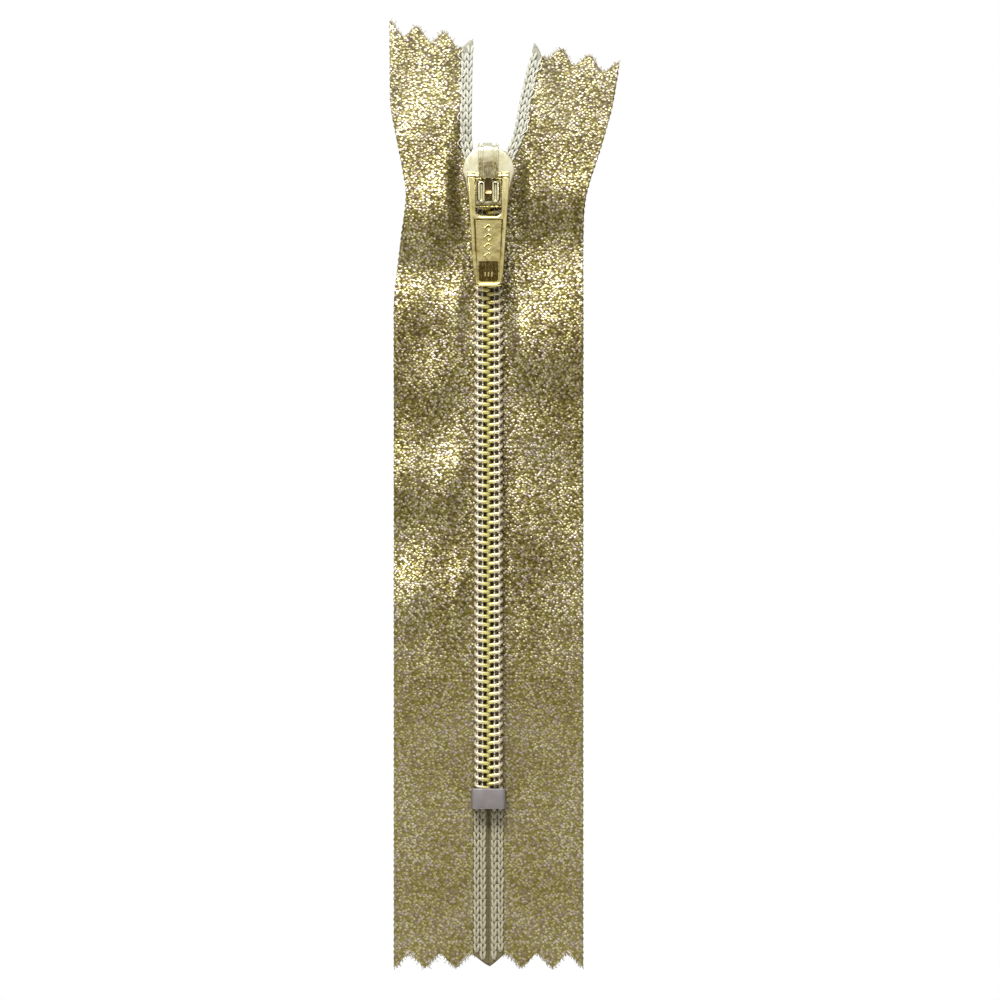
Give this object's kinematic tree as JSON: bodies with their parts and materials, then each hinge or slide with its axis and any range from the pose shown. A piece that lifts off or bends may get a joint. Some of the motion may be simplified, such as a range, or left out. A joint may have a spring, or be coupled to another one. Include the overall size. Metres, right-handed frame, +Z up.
{
  "type": "coil zipper",
  "caption": "Closed-end coil zipper with woven glitter tapes, a locking slider with a pull tab, top stops and a pressed bottom stop.",
  "frame": {"origin": "on the middle of the chain, on the front face of the tapes, level with the top edge of the bottom stop", "axes": "+X across the tapes to the viewer's right, +Y towards the back of the tapes (the slider's pull faces -Y), +Z up along the chain towards the open end"},
  "size_m": [0.0312, 0.0075, 0.1279],
  "materials": {
    "tape": "woven tape with metallic glitter yarn",
    "coil": "metallised gold monofilament",
    "cord": "spun filler cord",
    "thread": "sewing thread",
    "stop": "satin pressed sheet",
    "slider": "polished light gold plating",
    "spring": "bright spring strip"
  },
  "bodies": {
    "base": {"bottom_stop": "stop", "left_tape_tail": "tape", "right_tape_tail": "tape"},
    "left_half": {"left_tape": "tape", "left_coil": "coil", "left_core_cord": "cord", "left_inner_needle_thread": "thread", "left_outer_needle_thread": "thread", "left_looper_thread": "thread", "left_top_stop": "stop"},
    "right_half": {"right_tape": "tape", "right_coil": "coil", "right_core_cord": "cord", "right_inner_needle_thread": "thread", "right_outer_needle_thread": "thread", "right_looper_thread": "thread", "right_top_stop": "stop"},
    "slider": {"slider_body": "slider", "slider_cap": "slider"},
    "lock": {"lock_spring": "spring"},
    "pull": {"pull_tab": "slider"}
  },
  "joints": [
    {"name": "slider_travel", "type": "slide", "parent": "base", "child": "slider", "axis": [0, 0, -1], "range_m": [0, 0.0775], "deforming": ["left_tape", "left_coil", "left_core_cord", "left_inner_needle_thread", "left_outer_needle_thread", "left_looper_thread", "right_tape", "right_coil", "right_core_cord", "right_inner_needle_thread", "right_outer_needle_thread", "right_looper_thread"]},
    {"name": "left_half_spread", "type": "hinge", "parent": "base", "child": "left_half", "pos_m": [0, 0, 0], "axis": [0, -1, 0], "range_deg": [0, 12]},
    {"name": "right_half_spread", "type": "hinge", "parent": "base", "child": "right_half", "pos_m": [0, 0, 0], "axis": [0, 1, 0], "range_deg": [0, 12]},
    {"name": "pull_hinge", "type": "hinge", "parent": "slider", "child": "pull", "pos_m": [0, -0.00395, 0.0823], "axis": [-1, 0, 0], "range_deg": [0, 170]},
    {"name": "lock_lift", "type": "hinge", "parent": "slider", "child": "lock", "pos_m": [0, -0.0046, 0.0856], "axis": [-1, 0, 0], "range_deg": [0, 3.5]}
  ],
  "couplings": [
    {"joint": "left_half_spread", "follows": "slider_travel", "rad_per_m": 2.7},
    {"joint": "right_half_spread", "follows": "slider_travel", "rad_per_m": 2.7},
    {"joint": "lock_lift", "follows": "pull_hinge", "ratio": 0.0205}
  ]
}
